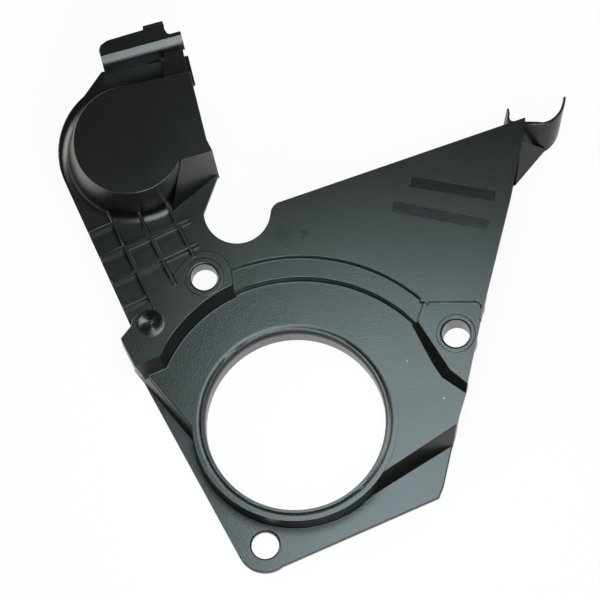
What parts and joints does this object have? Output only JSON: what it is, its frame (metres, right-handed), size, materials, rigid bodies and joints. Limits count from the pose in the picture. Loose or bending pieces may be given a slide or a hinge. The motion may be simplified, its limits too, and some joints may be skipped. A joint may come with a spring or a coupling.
{
  "type": "timing cover",
  "caption": "Moulded plastic lower timing cover: stepped plate with a large crank bore, a raised pulley drum, bolt seats, a rib grid, a clip tab and a cable cradle.",
  "frame": {"origin": "on the crank bore axis, in the mounting plane at the back of the bolting flange", "axes": "+Z outward along the crank axis, away from the engine; +Y up the cover towards the pulley drum; +X to the right seen from outside"},
  "size_m": [0.2037, 0.2187, 0.045],
  "materials": {
    "cover_plastic": "satin moulded black"
  },
  "bodies": {
    "root": {"timing_cover": "cover_plastic"}
  },
  "joints": []
}
